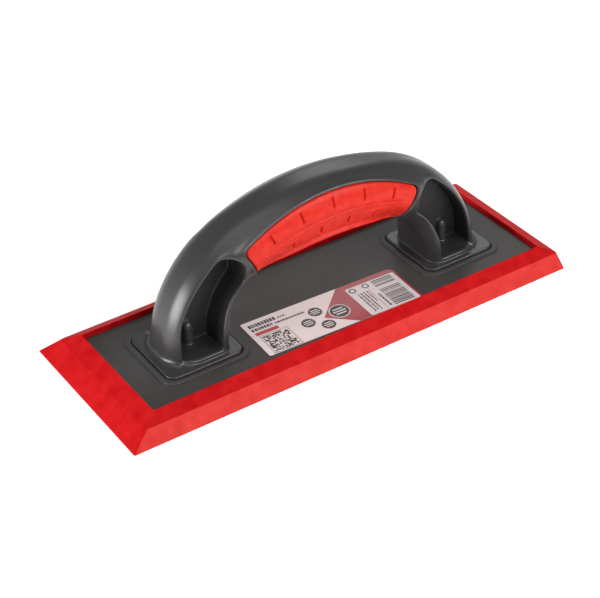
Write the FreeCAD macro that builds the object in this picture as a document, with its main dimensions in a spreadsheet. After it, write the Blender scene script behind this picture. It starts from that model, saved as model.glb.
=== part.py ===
"""Rubber-faced hand float with a moulded bridge handle, 250 x 95 mm sole. Millimetres, +Z up.

The origin is the middle of the sole, on the working face. +X runs along the float towards its square
end, and the end at -X is bevelled. The pieces, from the sole up: rubber pad, bond film, backing plate,
two screws, handle moulding, soft grip overmoulded on the handle, and the size label on the plate.
The handle, its grip and its screws are drawn about the handle's own middle plane, then placed.
"""

import FreeCAD, Part
import math
import os

from Sketcher import Constraint

DOC = FreeCAD.newDocument("HandFloat")

# Driving dimensions. Each becomes one cell of the sheet, with this name as its alias.
SIZES = {
    # rubber pad
    "pad_length": 250.0,
    "pad_width": 95.0,
    "pad_height": 10.0,
    "crease_height": 6.9,
    "bevel_crease_inset": 9.3,
    "bevel_rim_inset": 17.8,
    "square_crease_inset": 0.2,
    "square_rim_inset": 7.7,
    "side_crease_inset": 5.7,
    "side_rim_inset": 12.7,
    "recess_floor": 4.2,
    # bond film and backing plate
    "bond_thickness": 0.3,
    "plate_gap": 0.4,
    "plate_top": 7.5,
    "bead_size": 46.4,
    "bead_top": 8.6,
    "bead_corner": 6.2,
    "socket_size": 41.8,
    "socket_corner": 5.4,
    "socket_floor": 6.9,
    # handle, measured from its own middle plane
    "handle_offset": 5.5,
    "handle_width": 35.0,
    "handle_top": 77.9,
    "crown_radius": 134.0,
    "shoulder_radius": 66.6,
    "leg_outer": 91.0,
    "leg_inner": 59.0,
    "leg_foot": 8.0,
    "under_height": 42.5,
    "under_radius": 31.0,
    "barrel_round": 14.5,
    "foot_size": 41.0,
    "foot_corner": 5.0,
    "foot_top": 9.6,
    "foot_chamfer": 0.8,
    # hollow of each leg, open on both sides of a middle web
    "web_thickness": 2.0,
    "hollow_floor": 11.5,
    "hollow_outer_wall": 4.8,
    "hollow_inner_radius": 39.0,
    "hollow_inner_reach": 25.2,
    "hollow_inner_rise": 13.6,
    "hollow_top": 57.0,
    "hollow_side": 50.0,
    "hollow_round": 3.0,
    # screw bosses and screws
    "boss_spacing": 150.0,
    "boss_length": 5.2,
    "boss_width": 8.7,
    "boss_corner": 2.5,
    "boss_round": 2.3,
    "boss_top": 23.5,
    "thread_radius": 1.75,
    "thread_core": 1.3,
    "thread_pitch": 1.8,
    "thread_end": 19.0,
    "pilot_top": 20.0,
    "screw_head_radius": 3.4,
    "screw_clearance_radius": 2.0,
    "cross_width": 0.9,
    "cross_span": 3.6,
    "cross_depth": 1.2,
    # soft grip
    "grip_thickness": 2.6,
    "grip_crown_top": 73.3,
    "grip_crown_radius": 95.0,
    "grip_upper_reach": 49.8,
    "grip_lower_reach": 37.3,
    "grip_lower_height": 36.0,
    "grip_round": 3.0,
    # size label
    "label_length": 87.5,
    "label_width": 29.0,
    "label_thickness": 0.2,
    "label_corner": 2.0,
    "label_middle": 3.0,
    "label_side": 16.7,
    "label_turn": 2.2,
}
THREAD_TURNS = 6
ORIGIN = (-1, 1)
UP_AXIS = -2
START, END, MIDDLE = 1, 2, 3
SIDES = (-1, 1)

sheet = DOC.addObject("Spreadsheet::Sheet", "Sizes")
for row, (alias, number) in enumerate(SIZES.items(), start=1):
    sheet.set(f"A{row}", alias)
    sheet.set(f"B{row}", str(number))
    sheet.setAlias(f"B{row}", alias)
DOC.recompute()


def point(x, y):
    return FreeCAD.Vector(x, y, 0)


def new_body(name):
    body = DOC.addObject("PartDesign::Body", name)
    body.Label = name
    return body


def origin_plane(body, role):
    return next(part for part in body.Origin.OriginFeatures if part.Role == role)


def new_sketch(body, name, role="XY_Plane", lift=None):
    """An empty sketch on one of the body's own origin planes, lifted along its normal by a formula."""
    sketch = body.newObject("Sketcher::SketchObject", name)
    sketch.AttachmentSupport = [(origin_plane(body, role), "")]
    sketch.MapMode = "FlatFace"
    if lift:
        sketch.setExpression("AttachmentOffset.Base.z", lift)
    return sketch


def fix(sketch, kind, *args):
    """Adds a constraint whose last argument is a formula, and binds it to the sheet."""
    *where, formula = args
    index = sketch.addConstraint(Constraint(kind, *where, sketch.evalExpression(formula)))
    sketch.setExpression(f"Constraints[{index}]", formula)


def relate(sketch, kind, *where):
    sketch.addConstraint(Constraint(kind, *where))


def chain(sketch, count, first=0):
    """Joins each edge's end to the next edge's start, round the loop."""
    for step in range(count):
        here = first + step
        following = first + (step + 1) % count
        relate(sketch, "Coincident", here, END, following, START)


def box_sketch(body, name, left, right, near, far, lift=None):
    """A rectangle from -left to +right and from -near to +far, each a formula of positive length."""
    sketch = new_sketch(body, name, lift=lift)
    west, east, south, north = [sketch.evalExpression(side) for side in (left, right, near, far)]
    corners = [point(-west, -south), point(east, -south), point(east, north), point(-west, north)]
    for start, end in zip(corners, corners[1:] + corners[:1]):
        sketch.addGeometry(Part.LineSegment(start, end))
    chain(sketch, len(corners))
    for edge in (0, 2):
        relate(sketch, "Horizontal", edge)
    for edge in (1, 3):
        relate(sketch, "Vertical", edge)
    fix(sketch, "DistanceX", 0, START, *ORIGIN, left)
    fix(sketch, "DistanceY", 0, START, *ORIGIN, near)
    fix(sketch, "DistanceX", *ORIGIN, 1, END, right)
    fix(sketch, "DistanceY", *ORIGIN, 1, END, far)
    return sketch


def round_box_sketch(body, name, centre, length, width, corner, lift=None):
    """A rectangle with rounded corners, centred at a formula along X, as four lines and four arcs."""
    sketch = new_sketch(body, name, lift=lift)
    middle, long, wide, radius = [sketch.evalExpression(item) for item in (centre, length, width, corner)]
    half_long = long / 2 - radius
    half_wide = wide / 2 - radius
    centres = [
        point(middle + half_long, half_wide),
        point(middle - half_long, half_wide),
        point(middle - half_long, -half_wide),
        point(middle + half_long, -half_wide),
    ]
    quarter = math.pi / 2
    axis = FreeCAD.Vector(0, 0, 1)
    for turn, arc_centre in enumerate(centres):
        circle = Part.Circle(arc_centre, axis, radius)
        sketch.addGeometry(Part.ArcOfCircle(circle, turn * quarter, (turn + 1) * quarter))
    for turn in range(4):
        begin = sketch.getPoint(turn, END)
        finish = sketch.getPoint((turn + 1) % 4, START)
        sketch.addGeometry(Part.LineSegment(begin, finish))
    for turn in range(4):
        line = 4 + turn
        relate(sketch, "Tangent", turn, END, line, START)
        relate(sketch, "Tangent", line, END, (turn + 1) % 4, START)
    for turn in (1, 2, 3):
        relate(sketch, "Equal", 0, turn)
    relate(sketch, "Horizontal", 4)
    fix(sketch, "Radius", 0, corner)
    fix(sketch, "DistanceX", 1, MIDDLE, 0, MIDDLE, f"{length} - 2 * {corner}")
    fix(sketch, "DistanceY", 3, MIDDLE, 0, MIDDLE, f"{width} - 2 * {corner}")
    fix(sketch, "DistanceY", 3, MIDDLE, *ORIGIN, f"{width} / 2 - {corner}")
    if middle < 0:
        fix(sketch, "DistanceX", 1, MIDDLE, *ORIGIN, f"{length} / 2 - {corner} - ({centre})")
    else:
        fix(sketch, "DistanceX", *ORIGIN, 0, MIDDLE, f"{length} / 2 - {corner} + ({centre})")
    return sketch


def pad(body, name, profile, length, midplane=False, reverse=False):
    feature = body.newObject("PartDesign::Pad", name)
    feature.Profile = profile
    feature.Midplane = midplane
    feature.Reversed = reverse
    feature.setExpression("Length", length)
    DOC.recompute()
    return feature


def pocket(body, name, profile, depth, reverse=False):
    """A pocket that has to take material away; one that cuts nothing is an error."""
    before = body.Shape.Volume
    feature = body.newObject("PartDesign::Pocket", name)
    feature.Profile = profile
    feature.Reversed = reverse
    feature.setExpression("Length", depth)
    DOC.recompute()
    if not body.Shape.Volume < before:
        raise ValueError(f"{name} cuts nothing")
    return feature


def edges_where(shape, test):
    """Names of the shape's edges that pass a test, as the dress-up features take them."""
    return [f"Edge{number}" for number, edge in enumerate(shape.Edges, start=1) if test(edge)]


def dress(body, kind, name, base, amount, test):
    """A fillet or chamfer of the base feature's edges that pass the test."""
    feature = body.newObject("PartDesign::" + kind, name)
    feature.Base = (base, edges_where(base.Shape, test))
    feature.setExpression("Radius" if kind == "Fillet" else "Size", amount)
    DOC.recompute()
    return feature


def boolean(kind, name, base, tool):
    result = DOC.addObject("Part::" + kind, name)
    result.Base = base
    result.Tool = tool
    DOC.recompute()
    return result


def fuse_all(name, shapes):
    result = DOC.addObject("Part::MultiFuse", name)
    result.Shapes = shapes
    DOC.recompute()
    return result


def rubber_pad():
    """The red rubber slab: wide bevel at -X, square end at +X, sloping sides, recess for the plate."""
    body = new_body("rubber_pad")
    half = "Sizes.pad_length / 2"
    side = "Sizes.pad_width / 2"
    levels = (
        ("sole", half, half, side, None),
        (
            "crease",
            f"{half} - Sizes.bevel_crease_inset",
            f"{half} - Sizes.square_crease_inset",
            f"{side} - Sizes.side_crease_inset",
            "Sizes.crease_height",
        ),
        (
            "rim",
            f"{half} - Sizes.bevel_rim_inset",
            f"{half} - Sizes.square_rim_inset",
            f"{side} - Sizes.side_rim_inset",
            "Sizes.pad_height",
        ),
    )
    sketches = [box_sketch(body, name, left, right, wide, wide, lift) for name, left, right, wide, lift in levels]
    DOC.recompute()
    for name, lower, upper in zip(("flank", "top_slope"), sketches, sketches[1:]):
        loft = body.newObject("PartDesign::AdditiveLoft", name)
        loft.Profile = lower
        loft.Sections = [upper]
        loft.Ruled = True
        DOC.recompute()
    _, left, right, wide, lift = levels[-1]
    recess = box_sketch(body, "recess", left, right, wide, wide, lift)
    pocket(body, "recess_cut", recess, "Sizes.pad_height - Sizes.recess_floor")
    return body


def plate_box(body, name, lift):
    """The plate's outline: the pad's recess less the gap all round."""
    half = "Sizes.pad_length / 2 - Sizes.plate_gap"
    side = "Sizes.pad_width / 2 - Sizes.plate_gap - Sizes.side_rim_inset"
    left = f"{half} - Sizes.bevel_rim_inset"
    right = f"{half} - Sizes.square_rim_inset"
    return box_sketch(body, name, left, right, side, side, lift)


def bond_film():
    body = new_body("bond_film")
    outline = plate_box(body, "film_outline", "Sizes.recess_floor")
    pad(body, "film", outline, "Sizes.bond_thickness")
    return body


PLATE_BOTTOM = "Sizes.recess_floor + Sizes.bond_thickness"


def boss_place(side):
    """Formula for a screw's place along X, in the whole float's frame."""
    return f"Sizes.handle_offset + {side} * Sizes.boss_spacing / 2"


def backing_plate():
    """Stiff plate with a raised bead round each foot's socket and a countersunk screw hole in each."""
    body = new_body("backing_plate")
    outline = plate_box(body, "plate_outline", PLATE_BOTTOM)
    pad(body, "plate", outline, f"Sizes.plate_top - ({PLATE_BOTTOM})")
    for side in SIDES:
        tag = "left" if side < 0 else "right"
        bead = round_box_sketch(
            body, f"{tag}_bead_outline", boss_place(side), "Sizes.bead_size", "Sizes.bead_size",
            "Sizes.bead_corner", "Sizes.plate_top",
        )
        pad(body, f"{tag}_bead", bead, "Sizes.bead_top - Sizes.plate_top")
        socket = round_box_sketch(
            body, f"{tag}_socket_outline", boss_place(side), "Sizes.socket_size", "Sizes.socket_size",
            "Sizes.socket_corner", "Sizes.bead_top",
        )
        pocket(body, f"{tag}_socket", socket, "Sizes.bead_top - Sizes.socket_floor")
    holes = new_sketch(body, "hole_circles", lift="Sizes.plate_top")
    for number, side in enumerate(SIDES):
        place = holes.evalExpression(boss_place(side))
        radius = holes.evalExpression("Sizes.screw_clearance_radius")
        holes.addGeometry(Part.Circle(point(place, 0), FreeCAD.Vector(0, 0, 1), radius))
        fix(holes, "Radius", number, "Sizes.screw_clearance_radius")
        relate(holes, "PointOnObject", number, MIDDLE, -1)
        if side < 0:
            fix(holes, "DistanceX", number, MIDDLE, *ORIGIN, f"-({boss_place(side)})")
        else:
            fix(holes, "DistanceX", *ORIGIN, number, MIDDLE, boss_place(side))
    drilled = pocket(body, "holes", holes, "Sizes.plate_top")
    bottom = body.evalExpression(PLATE_BOTTOM)
    clearance = body.evalExpression("Sizes.screw_clearance_radius")

    def hole_rim(edge):
        return (
            isinstance(edge.Curve, Part.Circle)
            and abs(edge.Curve.Radius - clearance) < 1e-6
            and abs(edge.BoundBox.ZMax - bottom) < 1e-6
        )

    dress(body, "Chamfer", "countersinks", drilled,
          "Sizes.screw_head_radius - Sizes.screw_clearance_radius", hole_rim)
    return body


def barrel(name, inset):
    """The handle's arched bar, drawn in side view and rounded, with every face moved in by a formula.

    A crown arc and two tangent shoulder arcs make the outside, and the underside is a flat with two
    arcs down to the inner faces of the legs.
    """
    body = new_body(name)
    sketch = new_sketch(body, name + "_side_view", "XZ_Plane")
    crown, shoulder, outer, inner, foot, under, under_round, top = [
        sketch.evalExpression(item)
        for item in (
            f"Sizes.crown_radius - {inset}",
            f"Sizes.shoulder_radius - {inset}",
            "Sizes.leg_outer - Sizes.shoulder_radius",
            f"Sizes.leg_inner + {inset}",
            "Sizes.leg_foot",
            f"Sizes.under_height + {inset}",
            f"Sizes.under_radius + {inset}",
            f"Sizes.handle_top - {inset}",
        )
    ]
    crown_centre = top - crown
    meet = math.asin(outer / (crown - shoulder))
    shoulder_centre = crown_centre + (crown - shoulder) * math.cos(meet)
    down = math.asin((foot - shoulder_centre) / shoulder)
    up = FreeCAD.Vector(0, 0, 1)
    quarter = math.pi / 2
    crown_circle = Part.Circle(point(0, crown_centre), up, crown)
    right_circle = Part.Circle(point(outer, shoulder_centre), up, shoulder)
    left_circle = Part.Circle(point(-outer, shoulder_centre), up, shoulder)
    leg_x = outer + shoulder * math.cos(down)
    knee = under - under_round
    right_under = Part.Circle(point(inner - under_round, knee), up, under_round)
    left_under = Part.Circle(point(under_round - inner, knee), up, under_round)
    # all arcs run anticlockwise, so the loop is joined by naming ends rather than by their order
    sketch.addGeometry(Part.ArcOfCircle(crown_circle, quarter - meet, quarter + meet))
    sketch.addGeometry(Part.ArcOfCircle(right_circle, down, quarter - meet))
    sketch.addGeometry(Part.ArcOfCircle(left_circle, quarter + meet, math.pi - down))
    sketch.addGeometry(Part.LineSegment(point(leg_x, foot), point(inner, foot)))
    sketch.addGeometry(Part.LineSegment(point(-leg_x, foot), point(-inner, foot)))
    sketch.addGeometry(Part.LineSegment(point(inner, foot), point(inner, knee)))
    sketch.addGeometry(Part.LineSegment(point(-inner, foot), point(-inner, knee)))
    sketch.addGeometry(Part.ArcOfCircle(right_under, 0, quarter))
    sketch.addGeometry(Part.ArcOfCircle(left_under, quarter, math.pi))
    sketch.addGeometry(Part.LineSegment(point(inner - under_round, under), point(under_round - inner, under)))
    crown_arc, right_arc, left_arc, right_foot, left_foot, right_leg, left_leg, right_bend, left_bend, flat = range(10)
    relate(sketch, "Tangent", crown_arc, START, right_arc, END)
    relate(sketch, "Tangent", crown_arc, END, left_arc, START)
    relate(sketch, "Coincident", right_arc, START, right_foot, START)
    relate(sketch, "Coincident", left_arc, END, left_foot, START)
    relate(sketch, "Coincident", right_foot, END, right_leg, START)
    relate(sketch, "Coincident", left_foot, END, left_leg, START)
    relate(sketch, "Tangent", right_leg, END, right_bend, START)
    relate(sketch, "Tangent", left_leg, END, left_bend, END)
    relate(sketch, "Tangent", right_bend, END, flat, START)
    relate(sketch, "Tangent", left_bend, START, flat, END)
    relate(sketch, "PointOnObject", crown_arc, MIDDLE, UP_AXIS)
    relate(sketch, "Symmetric", right_arc, MIDDLE, left_arc, MIDDLE, UP_AXIS)
    relate(sketch, "Symmetric", right_leg, START, left_leg, START, UP_AXIS)
    relate(sketch, "Equal", right_bend, left_bend)
    for line in (right_foot, left_foot, flat):
        relate(sketch, "Horizontal", line)
    for line in (right_leg, left_leg):
        relate(sketch, "Vertical", line)
    fix(sketch, "Radius", crown_arc, f"Sizes.crown_radius - {inset}")
    fix(sketch, "Radius", right_arc, f"Sizes.shoulder_radius - {inset}")
    fix(sketch, "Radius", right_bend, f"Sizes.under_radius + {inset}")
    fix(sketch, "DistanceY", crown_arc, MIDDLE, *ORIGIN, "Sizes.crown_radius - Sizes.handle_top")
    fix(sketch, "DistanceX", *ORIGIN, right_arc, MIDDLE, "Sizes.leg_outer - Sizes.shoulder_radius")
    fix(sketch, "DistanceY", *ORIGIN, right_leg, START, "Sizes.leg_foot")
    fix(sketch, "DistanceX", *ORIGIN, right_leg, START, f"Sizes.leg_inner + {inset}")
    fix(sketch, "DistanceY", *ORIGIN, flat, START, f"Sizes.under_height + {inset}")
    bar = pad(body, name + "_bar", sketch, f"Sizes.handle_width - 2 * {inset}", midplane=True)
    half_width = body.evalExpression(f"Sizes.handle_width / 2 - {inset}")
    base = body.evalExpression("Sizes.leg_foot")

    def long_edge(edge):
        box = edge.BoundBox
        on_side = abs(abs(box.YMin) - half_width) < 1e-4 and box.YLength < 1e-4
        return on_side and box.ZMax > base + 1e-3

    dress(body, "Fillet", name + "_round", bar, f"Sizes.barrel_round - {inset}", long_edge)
    return body


def foot(side):
    """Square foot plate that drops into the backing plate's socket."""
    tag = "left" if side < 0 else "right"
    body = new_body(tag + "_foot")
    middle = f"{side} * Sizes.boss_spacing / 2"
    outline = round_box_sketch(
        body, tag + "_foot_outline", middle, "Sizes.foot_size", "Sizes.foot_size", "Sizes.foot_corner",
        "Sizes.socket_floor",
    )
    plate = pad(body, tag + "_foot_plate", outline, "Sizes.foot_top - Sizes.socket_floor")
    top = body.evalExpression("Sizes.foot_top")
    dress(body, "Chamfer", tag + "_foot_edge", plate, "Sizes.foot_chamfer",
          lambda edge: edge.BoundBox.ZMin > top - 1e-6)
    return body


def hollow(side, name, width):
    """The side view of one leg's hollow, made as thick as a formula says: the cut, or the web in it."""
    body = new_body(name)
    sketch = new_sketch(body, name + "_side_view", "XZ_Plane")
    reach, outer_radius, inner_reach, inner_rise, inner_radius, floor, top, inner_side = [
        sketch.evalExpression(item)
        for item in (
            "Sizes.leg_outer - Sizes.shoulder_radius",
            "Sizes.shoulder_radius - Sizes.hollow_outer_wall",
            "Sizes.hollow_inner_reach",
            "Sizes.hollow_inner_rise",
            "Sizes.hollow_inner_radius",
            "Sizes.hollow_floor",
            "Sizes.hollow_top",
            "Sizes.hollow_side",
        )
    ]
    meet = math.asin(reach / sketch.evalExpression("Sizes.crown_radius - Sizes.shoulder_radius"))
    rise = sketch.evalExpression("Sizes.handle_top - Sizes.crown_radius") + reach / math.tan(meet)
    low_outer = math.asin((floor - rise) / outer_radius)
    high_outer = math.asin((top - rise) / outer_radius)
    low_inner = math.asin((floor - inner_rise) / inner_radius)
    high_inner = math.acos((inner_side - inner_reach) / inner_radius)
    up = FreeCAD.Vector(0, 0, 1)
    outer_circle = Part.Circle(point(side * reach, rise), up, outer_radius)
    inner_circle = Part.Circle(point(side * inner_reach, inner_rise), up, inner_radius)
    if side > 0:
        outer_arc = Part.ArcOfCircle(outer_circle, low_outer, high_outer)
        inner_arc = Part.ArcOfCircle(inner_circle, low_inner, high_inner)
        low, high = START, END
    else:
        outer_arc = Part.ArcOfCircle(outer_circle, math.pi - high_outer, math.pi - low_outer)
        inner_arc = Part.ArcOfCircle(inner_circle, math.pi - high_inner, math.pi - low_inner)
        low, high = END, START
    corner = point(side * inner_side, top)
    sketch.addGeometry(outer_arc)
    sketch.addGeometry(inner_arc)
    sketch.addGeometry(Part.LineSegment(sketch.getPoint(0, high), corner))
    sketch.addGeometry(Part.LineSegment(corner, sketch.getPoint(1, high)))
    sketch.addGeometry(Part.LineSegment(sketch.getPoint(1, low), sketch.getPoint(0, low)))
    relate(sketch, "Coincident", 0, high, 2, START)
    relate(sketch, "Coincident", 2, END, 3, START)
    relate(sketch, "Coincident", 3, END, 1, high)
    relate(sketch, "Coincident", 1, low, 4, START)
    relate(sketch, "Coincident", 4, END, 0, low)
    relate(sketch, "Horizontal", 2)
    relate(sketch, "Vertical", 3)
    relate(sketch, "Horizontal", 4)
    fix(sketch, "Radius", 0, "Sizes.shoulder_radius - Sizes.hollow_outer_wall")
    fix(sketch, "Radius", 1, "Sizes.hollow_inner_radius")
    for item, spot, formula in (
        (0, MIDDLE, "Sizes.leg_outer - Sizes.shoulder_radius"),
        (1, MIDDLE, "Sizes.hollow_inner_reach"),
        (3, START, "Sizes.hollow_side"),
    ):
        ends = (*ORIGIN, item, spot) if side > 0 else (item, spot, *ORIGIN)
        fix(sketch, "DistanceX", *ends, formula)
    # the outer arc shares its centre with the shoulder, whose height follows from the crown arc
    sketch.addConstraint(Constraint("DistanceY", *ORIGIN, 0, MIDDLE, rise))
    fix(sketch, "DistanceY", *ORIGIN, 1, MIDDLE, "Sizes.hollow_inner_rise")
    fix(sketch, "DistanceY", *ORIGIN, 2, START, "Sizes.hollow_top")
    fix(sketch, "DistanceY", *ORIGIN, 4, START, "Sizes.hollow_floor")
    block = pad(body, name + "_block", sketch, width, midplane=True)
    dress(body, "Fillet", name + "_corners", block, "Sizes.hollow_round",
          lambda edge: edge.BoundBox.YLength > block.Length.Value - 1e-6)
    return body


def cylinder(name, side, radius, bottom, height):
    """An upright cylinder on one screw's axis."""
    result = DOC.addObject("Part::Cylinder", name)
    result.setExpression("Radius", radius)
    result.setExpression("Height", height)
    result.setExpression("Placement.Base.x", f"{side} * Sizes.boss_spacing / 2")
    result.setExpression("Placement.Base.z", bottom)
    return result


def boss(side):
    """The screw's column, drawn out across the web, with a domed top."""
    tag = "left" if side < 0 else "right"
    body = new_body(tag + "_boss")
    outline = round_box_sketch(
        body, tag + "_boss_outline", f"{side} * Sizes.boss_spacing / 2", "Sizes.boss_length",
        "Sizes.boss_width", "Sizes.boss_corner", "Sizes.foot_top",
    )
    column = pad(body, tag + "_boss_column", outline, "Sizes.boss_top - Sizes.foot_top")
    top = body.evalExpression("Sizes.boss_top")
    dress(body, "Fillet", tag + "_boss_dome", column, "Sizes.boss_round",
          lambda edge: edge.BoundBox.ZMin > top - 1e-6)
    return body


def grip_zone():
    """The side view of the stretch that the soft grip covers, as a block wider than the handle."""
    body = new_body("grip_zone")
    sketch = new_sketch(body, "grip_side_view", "XZ_Plane")
    radius, top, upper, lower, low = [
        sketch.evalExpression(item)
        for item in (
            "Sizes.grip_crown_radius",
            "Sizes.grip_crown_top",
            "Sizes.grip_upper_reach",
            "Sizes.grip_lower_reach",
            "Sizes.grip_lower_height",
        )
    ]
    spread = math.asin(upper / radius)
    circle = Part.Circle(point(0, top - radius), FreeCAD.Vector(0, 0, 1), radius)
    sketch.addGeometry(Part.ArcOfCircle(circle, math.pi / 2 - spread, math.pi / 2 + spread))
    right_end = sketch.getPoint(0, START)
    left_end = sketch.getPoint(0, END)
    sketch.addGeometry(Part.LineSegment(left_end, point(-lower, low)))
    sketch.addGeometry(Part.LineSegment(point(-lower, low), point(lower, low)))
    sketch.addGeometry(Part.LineSegment(point(lower, low), right_end))
    chain(sketch, 4)
    relate(sketch, "Symmetric", 0, START, 0, END, UP_AXIS)
    relate(sketch, "Symmetric", 1, END, 3, START, UP_AXIS)
    fix(sketch, "Radius", 0, "Sizes.grip_crown_radius")
    fix(sketch, "DistanceY", 0, MIDDLE, *ORIGIN, "Sizes.grip_crown_radius - Sizes.grip_crown_top")
    fix(sketch, "DistanceX", *ORIGIN, 0, START, "Sizes.grip_upper_reach")
    fix(sketch, "DistanceX", *ORIGIN, 2, END, "Sizes.grip_lower_reach")
    fix(sketch, "DistanceY", *ORIGIN, 2, END, "Sizes.grip_lower_height")
    block = pad(body, "grip_block", sketch, "Sizes.handle_width + 2", midplane=True)
    dress(body, "Fillet", "grip_corners", block, "Sizes.grip_round",
          lambda edge: edge.BoundBox.YLength > block.Length.Value - 1e-6 and edge.BoundBox.ZMin > top / 2 + low / 2)
    return body


def handle_and_grip():
    """The black moulding and the soft grip that fills the shallow step round its barrel."""
    arch = barrel("arch", "0")
    core = barrel("grip_core", "Sizes.grip_thickness")
    sleeve = boolean("Cut", "grip_sleeve", grip_zone(), core)
    soft_grip = boolean("Common", "soft_grip", arch, sleeve)
    solid = fuse_all("arch_on_feet", [arch] + [foot(side) for side in SIDES])
    names = {-1: "left", 1: "right"}
    cuts = fuse_all("hollows", [hollow(side, names[side] + "_hollow", "Sizes.handle_width + 2") for side in SIDES])
    shell = boolean("Cut", "hollow_arch", solid, cuts)
    webs = [hollow(side, names[side] + "_web", "Sizes.web_thickness") for side in SIDES]
    ribbed = fuse_all("ribbed_arch", [shell] + webs + [boss(side) for side in SIDES])
    pilots = fuse_all(
        "pilot_holes",
        [
            cylinder(names[side] + "_pilot", side, "Sizes.thread_radius", "Sizes.socket_floor",
                     "Sizes.pilot_top - Sizes.socket_floor")
            for side in SIDES
        ],
    )
    drilled = boolean("Cut", "drilled_arch", ribbed, pilots)
    handle = boolean("Cut", "handle_body", drilled, sleeve)
    for piece in (soft_grip, handle):
        piece.setExpression("Placement.Base.x", "Sizes.handle_offset")
    return handle, soft_grip


def screw(side):
    """Countersunk self-tapping screw, turned about its axis, with a cross recess in its head."""
    tag = "left" if side < 0 else "right"
    body = new_body(tag + "_screw")
    sketch = new_sketch(body, tag + "_screw_half", "XZ_Plane")
    head, neck, crest, core, pitch, end = [
        sketch.evalExpression(item)
        for item in (
            "Sizes.screw_head_radius",
            "Sizes.screw_clearance_radius",
            "Sizes.thread_radius",
            "Sizes.thread_core",
            "Sizes.thread_pitch",
            "Sizes.thread_end - Sizes.recess_floor - Sizes.bond_thickness",
        )
    ]
    outline = [point(0, 0), point(head, 0), point(neck, head - neck), point(core, head - core)]
    first_root = end - core - THREAD_TURNS * pitch
    for turn in range(THREAD_TURNS):
        root = first_root + turn * pitch
        outline += [point(core, root), point(crest, root + pitch / 2)]
    outline += [point(core, end - core), point(0, end)]
    for start, finish in zip(outline, outline[1:] + outline[:1]):
        sketch.addGeometry(Part.LineSegment(start, finish))
    chain(sketch, len(outline))
    relate(sketch, "Coincident", 0, START, *ORIGIN)
    relate(sketch, "Horizontal", 0)
    relate(sketch, "Vertical", len(outline) - 1)
    tip = len(outline) - 1
    for corner, spot in enumerate(outline[1:], start=1):
        if corner < tip:
            sketch.addConstraint(Constraint("DistanceX", *ORIGIN, corner, START, spot.x))
        if corner > 1:
            sketch.addConstraint(Constraint("DistanceY", *ORIGIN, corner, START, spot.y))
    turned = body.newObject("PartDesign::Revolution", tag + "_screw_turned")
    turned.Profile = sketch
    turned.ReferenceAxis = (sketch, ["V_Axis"])
    turned.Angle = 360
    DOC.recompute()
    for number, (long, wide) in enumerate((("cross_span", "cross_width"), ("cross_width", "cross_span"))):
        slot = box_sketch(body, f"{tag}_slot_{number}", f"Sizes.{long} / 2", f"Sizes.{long} / 2",
                          f"Sizes.{wide} / 2", f"Sizes.{wide} / 2")
        pocket(body, f"{tag}_slot_cut_{number}", slot, "Sizes.cross_depth", reverse=True)
    body.setExpression("Placement.Base.x", boss_place(side))
    body.setExpression("Placement.Base.z", PLATE_BOTTOM)
    return body


def handle_screws():
    """Both screws, as separate solids of one sub-part."""
    pair = DOC.addObject("Part::Compound", "handle_screws")
    pair.Links = [screw(side) for side in SIDES]
    DOC.recompute()
    return pair


def size_label():
    """Printed film on the plate, a little askew."""
    body = new_body("size_label")
    outline = round_box_sketch(body, "label_outline", "0", "Sizes.label_length", "Sizes.label_width",
                               "Sizes.label_corner")
    pad(body, "label_film", outline, "Sizes.label_thickness")
    turn = FreeCAD.Rotation(FreeCAD.Vector(0, 0, 1), -body.evalExpression("Sizes.label_turn"))
    body.Placement = FreeCAD.Placement(FreeCAD.Vector(0, 0, 0), turn)
    body.setExpression("Placement.Base.x", "Sizes.label_middle")
    body.setExpression("Placement.Base.y", "-Sizes.label_side")
    body.setExpression("Placement.Base.z", "Sizes.plate_top")
    return body


def check(pieces):
    """Stops if any object of the document has failed or any sub-part isn't sound."""
    for item in DOC.Objects:
        if {"Invalid", "Error"} & set(item.State):
            raise ValueError(f"{item.Name} did not compute: {item.State}")
    for piece in pieces:
        if piece.Shape.isNull() or not piece.Shape.isValid():
            raise ValueError(f"{piece.Label} has no valid shape")


def main():
    pieces = [rubber_pad(), bond_film(), backing_plate(), handle_screws(), *handle_and_grip(), size_label()]
    DOC.recompute()
    check(pieces)
    os.makedirs("parts", exist_ok=True)
    for piece in pieces:
        piece.Label = piece.Name
        piece.Shape.exportStep(f"parts/{piece.Label}.step")
        box = piece.Shape.BoundBox
        print(
            f"{piece.Label}: {len(piece.Shape.Solids)} solid(s), {piece.Shape.Volume:.0f} mm3,"
            f" x {box.XMin:.2f}..{box.XMax:.2f} y {box.YMin:.2f}..{box.YMax:.2f} z {box.ZMin:.2f}..{box.ZMax:.2f}"
        )


main()
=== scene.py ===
"""Looks for the rubber-faced hand float: moulded handle, soft grip, rubber pad, printed label and plate.

Moulded pieces are worked out as distance fields in millimetres, about the handle's middle plane, and
turned into smooth quad meshes. Blender objects are in metres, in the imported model's own frame.
"""

import math
import random

import bmesh
import bpy
import numpy as np
from mathutils import Matrix, Vector


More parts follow.
